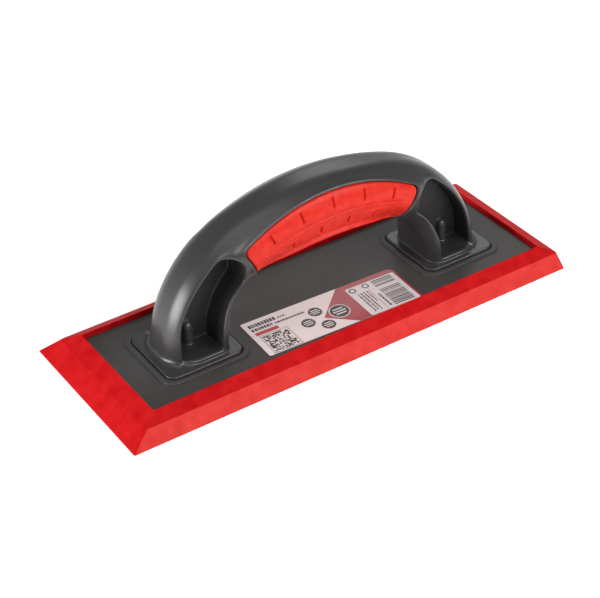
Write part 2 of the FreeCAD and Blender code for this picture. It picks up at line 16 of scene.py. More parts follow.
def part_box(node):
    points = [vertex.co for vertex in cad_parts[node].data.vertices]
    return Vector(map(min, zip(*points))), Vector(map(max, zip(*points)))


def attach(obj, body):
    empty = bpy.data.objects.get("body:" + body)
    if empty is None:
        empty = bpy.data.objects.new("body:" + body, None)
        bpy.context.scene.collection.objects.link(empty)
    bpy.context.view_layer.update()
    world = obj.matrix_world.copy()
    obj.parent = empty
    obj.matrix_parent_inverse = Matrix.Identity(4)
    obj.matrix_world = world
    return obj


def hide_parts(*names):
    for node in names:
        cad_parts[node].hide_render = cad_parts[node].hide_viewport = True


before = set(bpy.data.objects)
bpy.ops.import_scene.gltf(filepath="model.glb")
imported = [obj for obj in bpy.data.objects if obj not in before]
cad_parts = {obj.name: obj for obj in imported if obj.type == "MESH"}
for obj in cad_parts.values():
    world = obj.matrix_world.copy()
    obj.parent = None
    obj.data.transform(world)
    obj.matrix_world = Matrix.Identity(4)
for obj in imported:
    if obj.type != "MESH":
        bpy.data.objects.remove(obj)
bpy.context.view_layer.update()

MM = 0.001


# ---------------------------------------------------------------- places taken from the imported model


def box_mm(node):
    """A node's low and high corners in millimetres."""
    low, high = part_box(node)
    return np.array(low) / MM, np.array(high) / MM


HANDLE_LOW, HANDLE_HIGH = box_mm("handle_body")
PLATE_LOW, PLATE_HIGH = box_mm("backing_plate")
HANDLE_X = (HANDLE_LOW[0] + HANDLE_HIGH[0]) / 2
FOOT_SIZE = HANDLE_HIGH[1] - HANDLE_LOW[1]
LEG_CENTRE = (HANDLE_HIGH[0] - HANDLE_LOW[0] - FOOT_SIZE) / 2
HANDLE_TOP = HANDLE_HIGH[2]
FOOT_BOTTOM = HANDLE_LOW[2]


# ---------------------------------------------------------------- distance fields


def smooth_union(a, b, blend):
    h = np.clip(0.5 + 0.5 * (b - a) / blend, 0, 1)
    return b + (a - b) * h - blend * h * (1 - h)


def smooth_common(a, b, blend):
    return -smooth_union(-a, -b, blend)


def smooth_cut(a, b, blend):
    return -smooth_union(-a, b, blend)


def round_edge(a, b, radius):
    """Two faces, each given as a distance, that meet in an edge rounded to a radius."""
    inner = np.minimum(np.maximum(a, b) + radius, 0)
    return inner + np.hypot(np.maximum(a + radius, 0), np.maximum(b + radius, 0)) - radius


def smoothstep(low, high, x):
    t = np.clip((x - low) / (high - low), 0, 1)
    return t * t * (3 - 2 * t)


def bump(x, width):
    return np.exp(-((x / width) ** 2))


# Side view of the handle: a crown arc, two shoulder arcs, and an opening with rounded upper corners.
CROWN_RADIUS = 134.0
SHOULDER_RADIUS = 66.6
LEG_OUTER = 91.0
LEG_INNER = 59.0
UNDER_HEIGHT = 42.5
UNDER_RADIUS = 31.0
CROWN_Z = HANDLE_TOP - CROWN_RADIUS
SHOULDER_X = LEG_OUTER - SHOULDER_RADIUS
MEET = math.asin(SHOULDER_X / (CROWN_RADIUS - SHOULDER_RADIUS))
SHOULDER_Z = CROWN_Z + (CROWN_RADIUS - SHOULDER_RADIUS) * math.cos(MEET)
HALF_WIDTH = 17.5
OUTER_ROUND = 14.8
UNDER_ROUND = 14.5
BASE_ROUND = 6.5
BASE_ROUND_TOP = 15.0
FULL_ROUND_FROM = 38.0


def outer_face(x, z):
    """Distance outside the handle's outer outline, in side view."""
    across = np.abs(x)
    crown = np.hypot(across, z - CROWN_Z) - CROWN_RADIUS
    shoulder = np.hypot(across - SHOULDER_X, z - SHOULDER_Z) - SHOULDER_RADIUS
    return np.where(np.arctan2(across, z - CROWN_Z) < MEET, crown, shoulder)


def under_face(x, z):
    """Distance into the opening under the handle, in side view."""
    u = np.abs(x) - (LEG_INNER - UNDER_RADIUS)
    w = z - (UNDER_HEIGHT - UNDER_RADIUS)
    return UNDER_RADIUS - np.hypot(np.maximum(u, 0), np.maximum(w, 0)) - np.minimum(np.maximum(u, w), 0)


def barrel(x, y, z):
    """The handle's bar, with its edges rounded nearly to a circle, and squarer at the feet's inner side."""
    side = np.abs(y) - HALF_WIDTH
    spread = smoothstep(BASE_ROUND_TOP, FULL_ROUND_FROM, z)
    under_round = BASE_ROUND + (UNDER_ROUND - BASE_ROUND) * spread
    outer = round_edge(outer_face(x, z), side, OUTER_ROUND)
    under = round_edge(under_face(x, z), side, under_round)
    return np.maximum(outer, under)


# Hollow of each leg, in side view.
HOLLOW_WALL = 4.8
HOLLOW_OUTER = 84.3
HOLLOW_INNER_CENTRE = (25.2, 13.6)
HOLLOW_INNER_RADIUS = 39.0
HOLLOW_FLOOR = 11.5
HOLLOW_LID_SIDE = 50.0
HOLLOW_LID_TOP = 57.0
HOLLOW_LID_ROUND = 6.5
HOLLOW_ROUND = 3.0
WEB_HALF = 1.0
WEB_FILLET = 0.8
MOUTH_ROUND = 1.2
MOUTH_OUTER_ROUND = 3.4
MOUTH_OUTER_SPREAD = 3.0
HOLLOW_OUTER_ROUND = 3.0
HOLLOW_LID_BLEND = 1.5
HOLLOW_FLOOR_ROUND = 1.2


def hollow_outer(x, z):
    """Distance outside the hollow's outer side, in side view."""
    across = np.abs(x)
    wall = np.hypot(across - SHOULDER_X, z - SHOULDER_Z) - (SHOULDER_RADIUS - HOLLOW_WALL)
    return smooth_common(wall, across - HOLLOW_OUTER, HOLLOW_OUTER_ROUND)


def hollow(x, y, z):
    across = np.abs(x)
    inner = HOLLOW_INNER_RADIUS - np.hypot(across - HOLLOW_INNER_CENTRE[0], z - HOLLOW_INNER_CENTRE[1])
    lid = round_edge(HOLLOW_LID_SIDE - across, z - HOLLOW_LID_TOP, HOLLOW_LID_ROUND)
    view = smooth_common(smooth_common(hollow_outer(x, z), inner, HOLLOW_ROUND), lid, HOLLOW_LID_BLEND)
    view = smooth_common(view, HOLLOW_FLOOR - z, HOLLOW_FLOOR_ROUND)
    return smooth_common(view, WEB_HALF - np.abs(y), WEB_FILLET)


FOOT_CORNER = 5.0
FOOT_TOP = 9.6
FOOT_EDGE = 0.5
FLARE = (0.7, 3.2)
FLARE_RISE = (78, 88)


def foot(x, y, z):
    half = FOOT_SIZE / 2 - FOOT_CORNER
    u = np.abs(np.abs(x) - LEG_CENTRE) - half
    w = np.abs(y) - half
    plan = np.hypot(np.maximum(u, 0), np.maximum(w, 0)) + np.minimum(np.maximum(u, w), 0) - FOOT_CORNER
    return np.maximum(round_edge(plan, z - FOOT_TOP, FOOT_EDGE), FOOT_BOTTOM - z)


BOSS_RADIUS = 2.6
BOSS_REACH = 1.75
BOSS_TOP = 23.5
BOSS_FILLET = 0.8
BOSS_SINK = 1.0


def bosses(x, y, z):
    """Domed screw column of each leg, drawn out across the web."""
    u = np.abs(x) - LEG_CENTRE
    v = np.maximum(np.abs(y) - BOSS_REACH, 0)
    w = np.maximum(z - (BOSS_TOP - BOSS_RADIUS), 0)
    return np.maximum(np.sqrt(u * u + v * v + w * w) - BOSS_RADIUS, HOLLOW_FLOOR - BOSS_SINK - z)


# The stretch that the soft grip covers, in side view.
GRIP_TOP = 73.3
GRIP_RADIUS = 95.0
GRIP_UPPER = 49.8
GRIP_LOWER = (37.3, 36.0)
GRIP_CORNER = 3.0
GRIP_DEPTH = 2.6
GRIP_Z = GRIP_TOP - GRIP_RADIUS
SLEEVE_ROUND = 0.6
SEAM = 0.4
LIP_HEIGHT = 0.4
LIP_WIDTH = 0.9
FLUTE_DEPTH = 0.5
FLUTE_WIDTH = 3.5
FLUTE_OFFSET = 6.0
SWELL_FADE = (7, 13)


def grip_outline(x, z):
    """Distance outside the grip's outline, in side view."""
    across = np.abs(x)
    upper_z = GRIP_Z + math.sqrt(GRIP_RADIUS**2 - GRIP_UPPER**2)
    top = np.hypot(across, z - GRIP_Z) - GRIP_RADIUS
    run = np.subtract((GRIP_UPPER, upper_z), GRIP_LOWER)
    run = run / np.hypot(*run)
    end = (across - GRIP_LOWER[0]) * run[1] - (z - GRIP_LOWER[1]) * run[0]
    return smooth_common(top, end, GRIP_CORNER)


def handle_field(x, y, z):
    outline = grip_outline(x, z)
    bar = barrel(x, y, z)
    swell = LIP_HEIGHT * bump(outline - LIP_WIDTH, LIP_WIDTH)
    swell = swell - FLUTE_DEPTH * bump(outline - FLUTE_OFFSET, FLUTE_WIDTH)
    swell = swell * smoothstep(*SWELL_FADE, np.abs(y))
    flare = FLARE[0] + (FLARE[1] - FLARE[0]) * smoothstep(*FLARE_RISE, np.abs(x))
    body = smooth_union(bar - swell, foot(x, y, z), flare)
    lip = MOUTH_ROUND + (MOUTH_OUTER_ROUND - MOUTH_ROUND) * bump(hollow_outer(x, z), MOUTH_OUTER_SPREAD)
    body = smooth_cut(body, hollow(x, y, z), lip)
    body = smooth_union(body, bosses(x, y, z), BOSS_FILLET)
    sleeve = np.maximum(outline, -(bar + GRIP_DEPTH))
    body = smooth_cut(body, sleeve, SLEEVE_ROUND)
    return np.maximum(body, FOOT_BOTTOM - z)


# Relief of the grip: a step out along its middle, a crease above a roll at its lower edge, and short grooves.
RIDGE_TOP = 63.3
RIDGE_RADIUS = 109.0
RIDGE_HEIGHT = 1.0
RIDGE_HALF = 0.35
CREST_HEIGHT = 0.35
CREST_WIDTH = 0.55
RIDGE_FADE = (34.0, 44.0)
CREASE_DROP = 11.0
CREASE_DEPTH = 0.8
CREASE_WIDTH = 0.7
ROLL_DROP = 13.0
ROLL_HEIGHT = 1.3
ROLL_WIDTH = 1.6
GROOVE_STEP = math.radians(11.3)
GROOVE_DEPTH = 1.3
GROOVE_HALF = 0.5
UPPER_GROOVES = (-2, -1, 0, 1, 2)
UPPER_SPAN = (87.2, 92.4)
LOWER_GROOVES = (-1.5, -0.5, 0.5, 1.5)
LOWER_SPAN = (76.6, 80.8)
GROOVE_SOFT = 0.3
SKIN_DROP = 0.25
SKIN_ROUND = 0.8
END_FADE = (0, 4)
SIDE_FADE = (6, 12)


def grip_relief(x, z):
    """How far the grip's skin stands out of the barrel."""
    ridge = np.hypot(x, z - (RIDGE_TOP - RIDGE_RADIUS)) - RIDGE_RADIUS
    fade = 1 - smoothstep(*RIDGE_FADE, np.abs(x))
    step = 1 - smoothstep(-RIDGE_HALF, RIDGE_HALF, ridge)
    height = RIDGE_HEIGHT * step * (2 * smoothstep(-CREASE_DROP, -RIDGE_HALF, ridge) - 1)
    height = height + CREST_HEIGHT * bump(ridge + 2 * CREST_WIDTH, CREST_WIDTH)
    height = height - CREASE_DEPTH * bump(ridge + CREASE_DROP, CREASE_WIDTH)
    height = height + ROLL_HEIGHT * bump(ridge + ROLL_DROP, ROLL_WIDTH)
    height = height * fade
    radius = np.hypot(x, z - GRIP_Z)
    angle = np.arctan2(x, z - GRIP_Z)
    for steps, span in ((UPPER_GROOVES, UPPER_SPAN), (LOWER_GROOVES, LOWER_SPAN)):
        middle, half = sum(span) / 2, (span[1] - span[0]) / 2
        along = np.abs(radius - middle) - half
        for step in steps:
            across = np.abs(angle - step * GROOVE_STEP) * radius
            slot = np.maximum(across - GROOVE_HALF, along)
            height = height - GROOVE_DEPTH * (1 - smoothstep(-GROOVE_SOFT, GROOVE_SOFT, slot))
    return height


def grip_field(x, y, z):
    bar = barrel(x, y, z)
    outline = grip_outline(x, z)
    edge = smoothstep(*END_FADE, -outline)
    skin = bar + SKIN_DROP - grip_relief(x, z) * edge * smoothstep(*SIDE_FADE, np.abs(y))
    body = smooth_common(skin, outline + SEAM, SKIN_ROUND)
    return np.maximum(body, -(bar + GRIP_DEPTH))


# ---------------------------------------------------------------- from a field to a mesh

CORNERS = [(i, j, k) for i in (0, 1) for j in (0, 1) for k in (0, 1)]
SETTLING_STEPS = 4
LEAST_SLOPE = 0.2
FIELD_MARGIN = 1.5
HANDLE_CELL = 0.5
GRIP_CELL = 0.4


def linked_object(name, data):
    piece = bpy.data.objects.new(name, data)
    bpy.context.scene.collection.objects.link(piece)
    return piece


def gradient(field, points, step=0.02):
    slopes = []
    for axis in range(3):
        shift = np.zeros(3)
        shift[axis] = step
        slopes.append(field(*(points + shift).T) - field(*(points - shift).T))
    return np.stack(slopes, -1) / (2 * step)


def surface(field, low, high, cell):
    """Quads and points of the field's zero surface, one point in each cell that it crosses."""
    axes = [np.arange(a, b + cell, cell) for a, b in zip(low, high)]
    values = field(*np.meshgrid(*axes, indexing="ij"))
    shape = np.array(values.shape) - 1

    def corner(offset):
        return values[tuple(slice(o, o + n) for o, n in zip(offset, shape))]

    signs = sum((corner(offset) < 0).astype(np.int8) for offset in CORNERS)
    active = (signs > 0) & (signs < 8)
    index = np.full(tuple(shape), -1)
    index[active] = np.arange(active.sum())
    total = np.zeros((active.sum(), 3))
    hits = np.zeros(active.sum())
    for start in CORNERS:
        for axis in range(3):
            if start[axis]:
                continue
            end = tuple(s + (a == axis) for a, s in enumerate(start))
            first = corner(start)[active]
            second = corner(end)[active]
            crossed = (first < 0) != (second < 0)
            share = np.where(crossed, first / np.where(crossed, first - second, 1), 0)
            spot = np.tile(np.array(start, float), (len(first), 1))
            spot[:, axis] = share
            total += spot * crossed[:, None]
            hits += crossed
    points = (np.argwhere(active) + total / hits[:, None]) * cell + np.array([axis[0] for axis in axes])
    quads = []
    for axis in range(3):
        b, c = [other for other in range(3) if other != axis]
        near = values < 0
        ahead = np.take(near, range(1, near.shape[axis]), axis)
        here = np.take(near, range(near.shape[axis] - 1), axis)
        cells = np.argwhere(here != ahead)
        inside = (cells[:, b] > 0) & (cells[:, c] > 0) & (cells[:, b] < shape[b]) & (cells[:, c] < shape[c])
        cells = cells[inside]
        ring = []
        for db, dc in ((1, 1), (0, 1), (0, 0), (1, 0)):
            at = cells.copy()
            at[:, b] -= db
            at[:, c] -= dc
            ring.append(index[tuple(at.T)])
        ring = np.stack(ring, -1)
        flip = here[tuple(cells.T)] == (axis == 1)
        ring[flip] = ring[flip][:, ::-1]
        quads.append(ring)
    return points, np.concatenate(quads)


def moulded(name, field, node, cell):
    """An object whose smooth mesh lies on the field's zero surface, worked out over its node's box."""
    low, high = box_mm(node)
    shift = np.array([HANDLE_X, 0, 0])
    points, quads = surface(field, low - shift - FIELD_MARGIN, high - shift + FIELD_MARGIN, cell)
    for _ in range(SETTLING_STEPS):
        slope = gradient(field, points)
        size = np.maximum((slope**2).sum(-1), LEAST_SLOPE)
        move = field(*points.T)[:, None] * slope / size[:, None]
        points = points - np.clip(move, -cell / 2, cell / 2)
    mesh = bpy.data.meshes.new(name)
    placed = (points + shift) * MM
    mesh.from_pydata(placed.tolist(), [], quads.tolist())
    mesh.shade_smooth()
    return linked_object(name, mesh)


# ---------------------------------------------------------------- materials


MOTTLE_SPAN = (0.35, 0.65)


def new_material(name, color, roughness, **sockets):
    material = bpy.data.materials.new(name)
    material.use_nodes = True
    shader = material.node_tree.nodes["Principled BSDF"]
    shader.inputs["Base Color"].default_value = (*color, 1)
    shader.inputs["Roughness"].default_value = roughness
    for socket, value in sockets.items():
        shader.inputs[socket.replace("_", " ")].default_value = value
    return material


def new_noise(material, scale, detail):
    """Soft noise in the object's own space."""
    nodes = material.node_tree.nodes
    place = nodes.new("ShaderNodeTexCoord")
    noise = nodes.new("ShaderNodeTexNoise")
    noise.inputs["Scale"].default_value = scale
    noise.inputs["Detail"].default_value = detail
    material.node_tree.links.new(place.outputs["Object"], noise.inputs["Vector"])
    return noise.outputs["Fac"]


def add_noise_bump(material, scale, strength, distance, detail=4.0):
    """A fine uneven surface."""
    nodes, links = material.node_tree.nodes, material.node_tree.links
    noise = new_noise(material, scale, detail)
    relief = nodes.new("ShaderNodeBump")
    relief.inputs["Strength"].default_value = strength
    relief.inputs["Distance"].default_value = distance
    links.new(noise, relief.inputs["Height"])
    links.new(relief.outputs["Normal"], nodes["Principled BSDF"].inputs["Normal"])


def wear(piece, material):
    piece.data.materials.clear()
    piece.data.materials.append(material)


def add_mottle(material, scale, low, high, detail=3.0):
    """Blends the base colour between two shades by soft noise."""
    nodes, links = material.node_tree.nodes, material.node_tree.links
    noise = new_noise(material, scale, detail)
    ramp = nodes.new("ShaderNodeValToRGB")
    for element, position, shade in zip(ramp.color_ramp.elements, MOTTLE_SPAN, (low, high)):
        element.position = position
        element.color = (*shade, 1)
    links.new(noise, ramp.inputs["Fac"])
    links.new(ramp.outputs["Color"], nodes["Principled BSDF"].inputs["Base Color"])


RED_RUBBER = new_material("red_rubber", (0.46, 0.004, 0.006), 0.55, Specular_IOR_Level=0.08)
add_noise_bump(RED_RUBBER, 900, 0.25, 0.0002)
add_mottle(RED_RUBBER, 150, (0.42, 0.002, 0.004), (0.5, 0.007, 0.009), 6)
# Painted light: a paler, more coral copy of the red rubber for the pad's long lower bevels, standing in for
# the light falling brighter on them.
RUBBER_PAINTED_LIGHT = new_material("red_rubber_painted_light", (0.57, 0.027, 0.023), 0.55, Specular_IOR_Level=0.1)
add_noise_bump(RUBBER_PAINTED_LIGHT, 900, 0.25, 0.0002)
add_mottle(RUBBER_PAINTED_LIGHT, 150, (0.53, 0.023, 0.019), (0.61, 0.035, 0.029), 6)
PLATE = new_material("plate_plastic", (0.041, 0.039, 0.0375), 0.52, Specular_IOR_Level=0.45)
add_noise_bump(PLATE, 2500, 0.3, 0.0001)
add_mottle(PLATE, 25, (0.036, 0.0343, 0.033), (0.046, 0.0438, 0.042))
BLACK = new_material("handle_plastic", (0.034, 0.032, 0.032), 0.3)
add_noise_bump(BLACK, 2200, 0.2, 0.0001)
# Painted shade: a darker, duller copy of the handle plastic for the faces deep inside the leg hollows,
# standing in for the shade there.
HOLLOW_PAINTED_SHADE = new_material("handle_hollow_painted_shade", (0.022, 0.021, 0.021), 0.45, Specular_IOR_Level=0.35)
add_noise_bump(HOLLOW_PAINTED_SHADE, 1500, 0.3, 0.0001)
add_mottle(HOLLOW_PAINTED_SHADE, 150, (0.018, 0.0171, 0.0171), (0.024, 0.0228, 0.0228))
GRIP = new_material("grip_elastomer", (0.56, 0.02, 0.01), 0.38, Specular_IOR_Level=0.2)
add_noise_bump(GRIP, 2000, 0.2, 0.0001)
add_mottle(GRIP, 250, (0.54, 0.014, 0.008), (0.62, 0.024, 0.012), 5)
STEEL = new_material("screw_steel", (0.6, 0.6, 0.58), 0.3, Metallic=1.0)
add_noise_bump(STEEL, 1800, 0.15, 0.0001)
add_mottle(STEEL, 400, (0.5, 0.5, 0.48), (0.66, 0.66, 0.64))
BOND = new_material("bond_adhesive", (0.55, 0.45, 0.28), 0.5)
add_noise_bump(BOND, 600, 0.3, 0.0002)
add_mottle(BOND, 120, (0.48, 0.38, 0.22), (0.6, 0.5, 0.32))
LABEL = new_material("label_film", (0.66, 0.58, 0.57), 0.32)
LABEL_TINT = new_material("label_tint", (0.3, 0.03, 0.04), 0.3)
LABEL_PANEL = new_material("label_panel", (0.6, 0.56, 0.56), 0.4)
LABEL_DARK = new_material("label_dark", (0.035, 0.033, 0.035), 0.4)
LABEL_RED = new_material("label_red", (0.4, 0.03, 0.04), 0.4)
LABEL_LAYERS = (LABEL, LABEL_TINT, LABEL_PANEL, LABEL_DARK, LABEL_RED)
for layer in LABEL_LAYERS:
    add_noise_bump(layer, 700, 0.2, 0.0001)
FLOOR = new_material("floor_white", (0.9, 0.9, 0.9), 0.6, Emission_Color=(1, 1, 1, 1), Emission_Strength=0.45)


# ---------------------------------------------------------------- camera, floor and light

CAMERA_AZIMUTH = math.radians(-32.43)
CAMERA_ELEVATION = math.radians(35.56)
CAMERA_ROLL = math.radians(-2.07)
CAMERA_DISTANCE = 0.8331
CAMERA_AIM = Vector((-0.0018, 0.0047, 0.0042))
CAMERA_LENS = 100.8
CAMERA_SENSOR = 36
FLOOR_REACH = 8.0
# grey against the height of the view ray, and against how far it points behind the object
RISE_STOPS = ((0.0, 0.8), (0.25, 0.5), (0.42, 0.2), (0.8, 0.15), (1.0, 0.4))
DEPTH_STOPS = ((0.0, 0.25), (0.45, 0.4), (0.8, 1.0))


def add_camera():
    data = bpy.data.cameras.new("camera")
    data.lens = CAMERA_LENS
    data.sensor_width = CAMERA_SENSOR
    camera = linked_object("camera", data)
    back = Vector((
        math.sin(CAMERA_AZIMUTH) * math.cos(CAMERA_ELEVATION),
        -math.cos(CAMERA_AZIMUTH) * math.cos(CAMERA_ELEVATION),
        math.sin(CAMERA_ELEVATION),
    ))
    turn = back.to_track_quat("Z", "Y").to_matrix().to_4x4()
    camera.matrix_world = (
        Matrix.Translation(CAMERA_AIM + back * CAMERA_DISTANCE) @ turn @ Matrix.Rotation(CAMERA_ROLL, 4, "Z")
    )
    bpy.context.scene.camera = camera


def add_area(name, place, aim, size, energy):
    data = bpy.data.lights.new(name, "AREA")
    data.shape = "RECTANGLE"
    data.size, data.size_y = size
    data.energy = energy
    lamp = linked_object(name, data)
    lamp.location = place
    lamp.rotation_euler = (Vector(place) - Vector(aim)).to_track_quat("Z", "Y").to_euler()


def add_floor():
    mesh = bpy.data.meshes.new("floor")
    corners = [(x * FLOOR_REACH, y * FLOOR_REACH, 0) for x, y in ((-1, -1), (1, -1), (1, 1), (-1, 1))]
    mesh.from_pydata(corners, [], [(0, 1, 2, 3)])
    floor = linked_object("floor", mesh)
    wear(floor, FLOOR)


def add_ramp(nodes, stops):
    """A grey colour ramp with the given places and values."""
    ramp = nodes.new("ShaderNodeValToRGB")
    elements = ramp.color_ramp.elements
    for element, (position, grey) in zip(elements, (stops[0], stops[-1])):
        element.position = position
        element.color = (grey, grey, grey, 1)
    for position, grey in stops[1:-1]:
        elements.new(position).color = (grey, grey, grey, 1)
    return ramp


def add_world():
    """A studio that is pale low down behind the object, dimmer in front and half way up."""
    world = bpy.data.worlds.new("studio")
    world.use_nodes = True
    nodes, links = world.node_tree.nodes, world.node_tree.links
    place = nodes.new("ShaderNodeTexCoord")
    split = nodes.new("ShaderNodeSeparateXYZ")
    rise = add_ramp(nodes, RISE_STOPS)
    shift = nodes.new("ShaderNodeMapRange")
    shift.inputs["From Min"].default_value = -1
    depth = add_ramp(nodes, DEPTH_STOPS)
    mix = nodes.new("ShaderNodeMix")
    mix.data_type = "RGBA"
    mix.blend_type = "MULTIPLY"
    mix.inputs["Factor"].default_value = 1
    links.new(place.outputs["Generated"], split.inputs["Vector"])
    links.new(split.outputs["Z"], rise.inputs["Fac"])
    links.new(split.outputs["Y"], shift.inputs["Value"])
    links.new(shift.outputs["Result"], depth.inputs["Fac"])
    links.new(rise.outputs["Color"], mix.inputs["A"])
    links.new(depth.outputs["Color"], mix.inputs["B"])
    links.new(mix.outputs["Result"], nodes["Background"].inputs["Color"])
    bpy.context.scene.world = world


add_camera()
add_floor()
add_world()
bpy.context.scene.view_settings.view_transform = "Standard"
add_area("left", (-1.0, 0.15, 0.18), (0, 0, 0.05), (0.6, 0.42), 10.5)
add_area("front", (-0.1, -0.85, 0.72), (0, 0, 0.03), (0.5, 0.35), 4.8)
add_area("right_front", (0.48, -0.64, 0.74), (0, 0, 0.05), (0.6, 0.45), 7)
add_area("overhead", (-0.3, -0.15, 1.25), (0, 0, 0), (1.0, 0.8), 3.2)
add_area("back_right", (0.75, 0.9, 0.8), (0.04, 0, 0), (0.6, 0.5), 1.9)


# ---------------------------------------------------------------- pieces


def rounded_corners(low, high, radii, steps):
    """Points of a rectangle with a rounded corner each, anticlockwise from the low corner."""
    corners = (
        (low[0], low[1], 180, radii[0], 1, 1),
        (high[0], low[1], 270, radii[1], -1, 1),
        (high[0], high[1], 0, radii[2], -1, -1),
        (low[0], high[1], 90, radii[3], 1, -1),
    )
    points = []
    for x, y, start, radius, way_x, way_y in corners:
        for step in range(steps + 1):
            angle = math.radians(start + 90 * step / steps)
            points.append((
                x + way_x * radius + radius * math.cos(angle),
                y + way_y * radius + radius * math.sin(angle),
            ))
    return points


CORNER_SHARE = 0.45


def softened(profile, radius, steps=4):
    """The profile with each inner corner replaced by a short curve. Each row's last value is z."""
    rows = [np.array(row, float) for row in profile]
    result = [rows[0]]
    for before, here, after in zip(rows, rows[1:], rows[2:]):
        first, second = before - here, after - here
        first = first * min(radius / np.hypot(first[-2], first[-1]), CORNER_SHARE)
        second = second * min(radius / np.hypot(second[-2], second[-1]), CORNER_SHARE)
        for step in range(steps + 1):
            t = step / steps
            result.append(here + first * (1 - t) ** 2 + second * t**2)
    result.append(rows[-1])
    return result


def at_height(points, z):
    return [(x, y, z) for x, y in points]


def new_loop(bm, points):
    """Vertices at a list of (x, y, z) in millimetres."""
    return [bm.verts.new((x * MM, y * MM, z * MM)) for x, y, z in points]


def bridge(bm, below, above):
    """Quads between two loops with equal counts of points."""
    faces = []
    for i in range(len(below)):
        j = (i + 1) % len(below)
        faces.append(bm.faces.new((below[i], below[j], above[j], above[i])))
    return faces


def ring_object(name, rings):
    """A closed mesh from rings with equal counts of points, each a list of (x, y, z) in millimetres."""
    mesh = bpy.data.meshes.new(name)
    bm = bmesh.new()
    loops = [new_loop(bm, ring) for ring in rings]
    for below, above in zip(loops, loops[1:]):
        bridge(bm, below, above)
    bm.faces.new(tuple(reversed(loops[0])))
    bm.faces.new(loops[-1])
    bmesh.ops.recalc_face_normals(bm, faces=bm.faces)
    bm.to_mesh(mesh)
    bm.free()
    mesh.shade_smooth()
    return linked_object(name, mesh)


SHARP_ANGLE = math.radians(60)
NORMAL_WEIGHT = 90


def sharpen(piece):
    """Keeps flat faces flat and breaks the shading at steep edges."""
    piece.data.set_sharp_from_angle(angle=SHARP_ANGLE)
    keep = piece.modifiers.new("normals", "WEIGHTED_NORMAL")
    keep.keep_sharp = True
    keep.weight = NORMAL_WEIGHT


def second_material(piece, material, chosen):
    """Gives a second material to the faces that a rule picks from their middles (mm) and normals."""
    faces = piece.data.polygons
    middles, normals = np.empty(len(faces) * 3), np.empty(len(faces) * 3)
    faces.foreach_get("center", middles)
    faces.foreach_get("normal", normals)
    picked = chosen(middles.reshape(-1, 3) / MM, normals.reshape(-1, 3))
    piece.data.materials.append(material)
    faces.foreach_set("material_index", picked.astype(np.int32))


# Depth limits of the hollow faces that get the painted shade.
HOLLOW_NEAR = 0.5
MOUTH_DEPTH = 1.5
BOSS_CLEAR = 0.3


def painted_shade_in_hollow(middles, normals):
    """The faces that get the painted shade: the hollows of the legs, without their mouths and the screw
    columns.
    """
    x, y, z = middles[:, 0] - HANDLE_X, middles[:, 1], middles[:, 2]
    near = hollow(x, y, z) < HOLLOW_NEAR
    return near & (barrel(x, y, z) < -MOUTH_DEPTH) & (bosses(x, y, z) > BOSS_CLEAR)


# The pad's lower bevels, which get painted light: the height of the crease above them, and the least slopes
# of their normals.
PAD_CREASE = 6.9
SIDE_FACING = 0.45
UP_FACING = 0.2


def painted_light_on_side_bevel(middles, normals):
    """The long lower bevels of the pad, which get the paler rubber as painted light."""
    facing = (np.abs(normals[:, 1]) > SIDE_FACING) & (normals[:, 2] > UP_FACING)
    return facing & (middles[:, 2] < PAD_CREASE)


def finish_piece(piece, node):
    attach(piece, "root")
    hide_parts(node)


# Rubber pad: insets of its left end, right end and sides at each level, and its corner radii.
PAD_LOW, PAD_HIGH = box_mm("rubber_pad")
PAD_EDGE = 0.3
PAD_PROFILE = [
    # left inset, right inset, left corner, right corner, side inset, z
    (17.8, 7.7, 0.8, 0.8, 12.7, 0.0),
    (0.5, 0.5, 0.6, 0.6, 0.5, 0.0),
    (0.0, 0.0, 0.6, 0.6, 0.0, 0.4),
    (0.25, 0.05, 0.8, 0.6, 0.15, 0.7),
    (9.3, 0.3, 2.6, 1.5, 5.7, PAD_CREASE),
    (17.8, 7.7, 1.4, 1.0, 12.7, 10.0),
    (18.0, 7.9, 1.0, 0.8, 12.9, 4.2),
    (30.0, 20.0, 1.0, 1.0, 25.0, 4.2),
]


def pad_rings():
    rings = []
    for left, right, left_corner, right_corner, side, z in softened(PAD_PROFILE, PAD_EDGE):
        low = (PAD_LOW[0] + left, PAD_LOW[1] + side)
        high = (PAD_HIGH[0] - right, PAD_HIGH[1] - side)
        corners = (left_corner, right_corner, right_corner, left_corner)
        rings.append(at_height(rounded_corners(low, high, corners, 6), z))
    return rings


# Backing plate: slab and, at each foot, a raised bead round a socket.
PLATE_TOP = 7.5
PLATE_EDGE = 0.7
PLATE_CORNER = 1.6
BEAD_HALF = 23.2
BEAD_CORNER = 6.2
BEAD_EDGE = 0.3
BEAD_SPREAD = 0.25
BEAD_CORNER_SPREAD = 0.2
BEAD_SINK = 0.1
SOCKET_SINK = 0.3
SOCKET_HALF = 20.95
SOCKET_CORNER = 5.4


def bead_rings(centre):
    rings = []
    profile = [
        (SOCKET_HALF, SOCKET_CORNER, FOOT_BOTTOM - SOCKET_SINK),
        (SOCKET_HALF, SOCKET_CORNER, PLATE_HIGH[2]),
        (BEAD_HALF, BEAD_CORNER, PLATE_HIGH[2]),
        (BEAD_HALF + BEAD_SPREAD, BEAD_CORNER + BEAD_CORNER_SPREAD, PLATE_TOP - BEAD_SINK),
    ]
    for half, corner, z in softened(profile, BEAD_EDGE):
        outline = rounded_corners((centre - half, -half), (centre + half, half), [corner] * 4, 8)
        rings.append(at_height(outline, z))
    return rings


